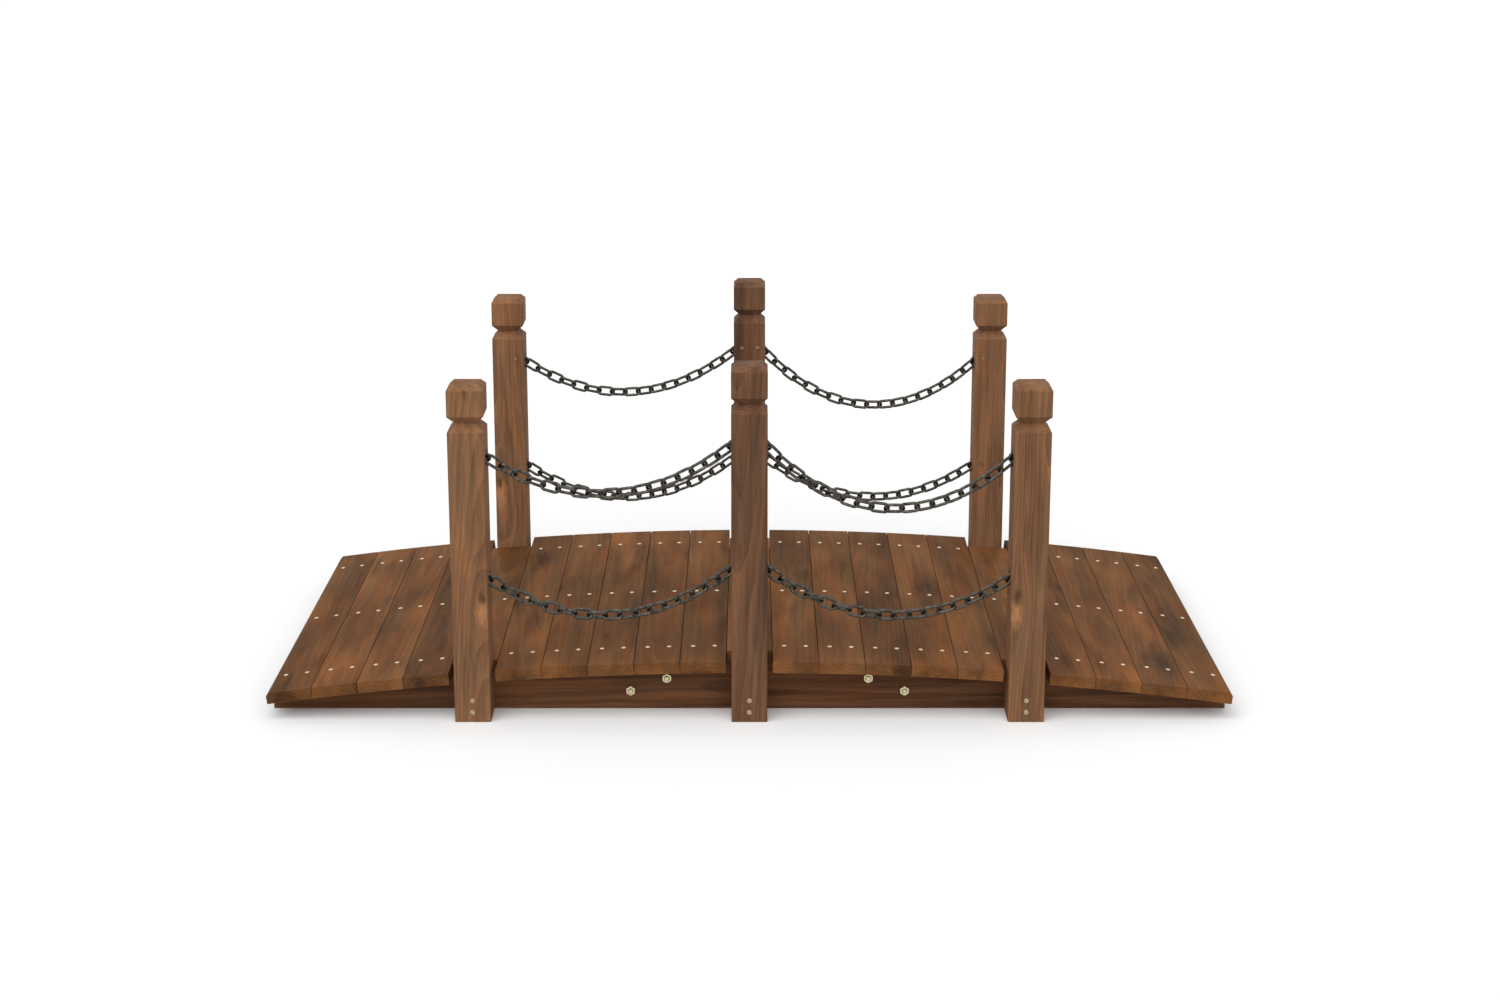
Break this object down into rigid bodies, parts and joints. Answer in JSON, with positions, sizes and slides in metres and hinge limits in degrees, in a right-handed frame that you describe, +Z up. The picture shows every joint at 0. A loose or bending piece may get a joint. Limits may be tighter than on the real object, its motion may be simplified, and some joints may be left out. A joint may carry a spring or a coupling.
{
  "type": "garden bridge",
  "caption": "Small arched timber footbridge for a garden: cross boards on arched stringers, square posts with cut necks, and hanging chain rails on both sides.",
  "frame": {"origin": "on the ground under the middle of the deck", "axes": "+X along the bridge, +Y across it away from the front, +Z up"},
  "size_m": [1.5004, 0.67, 0.566],
  "materials": {
    "deck_timber": "planed softwood, brown pressure-treated stain",
    "post_timber": "planed softwood, brown pressure-treated stain",
    "stringer_timber": "planed softwood, darker brown stain",
    "chain_iron": "blackened welded steel chain",
    "plated_screws": "yellow zinc plate"
  },
  "bodies": {
    "root": {"chain_back_left_lower": "chain_iron", "chain_back_left_upper": "chain_iron", "chain_back_right_lower": "chain_iron", "chain_back_right_upper": "chain_iron", "chain_front_left_lower": "chain_iron", "chain_front_left_upper": "chain_iron", "chain_front_right_lower": "chain_iron", "chain_front_right_upper": "chain_iron", "chain_screws": "plated_screws", "deck_board_01": "deck_timber", "deck_board_02": "deck_timber", "deck_board_03": "deck_timber", "deck_board_04": "deck_timber", "deck_board_05": "deck_timber", "deck_board_06": "deck_timber", "deck_board_07": "deck_timber", "deck_board_08": "deck_timber", "deck_board_09": "deck_timber", "deck_board_10": "deck_timber", "deck_board_11": "deck_timber", "deck_board_12": "deck_timber", "deck_board_13": "deck_timber", "deck_board_14": "deck_timber", "deck_board_15": "deck_timber", "deck_board_16": "deck_timber", "deck_board_17": "deck_timber", "deck_board_18": "deck_timber", "deck_board_19": "deck_timber", "deck_board_20": "deck_timber", "deck_board_21": "deck_timber", "post_back_centre": "post_timber", "post_back_left": "post_timber", "post_back_right": "post_timber", "post_front_centre": "post_timber", "post_front_left": "post_timber", "post_front_right": "post_timber", "splice_back": "stringer_timber", "splice_front": "stringer_timber", "splice_middle": "stringer_timber", "stringer_back_left": "stringer_timber", "stringer_back_right": "stringer_timber", "stringer_front_left": "stringer_timber", "stringer_front_right": "stringer_timber", "stringer_middle_left": "stringer_timber", "stringer_middle_right": "stringer_timber"}
  },
  "joints": []
}
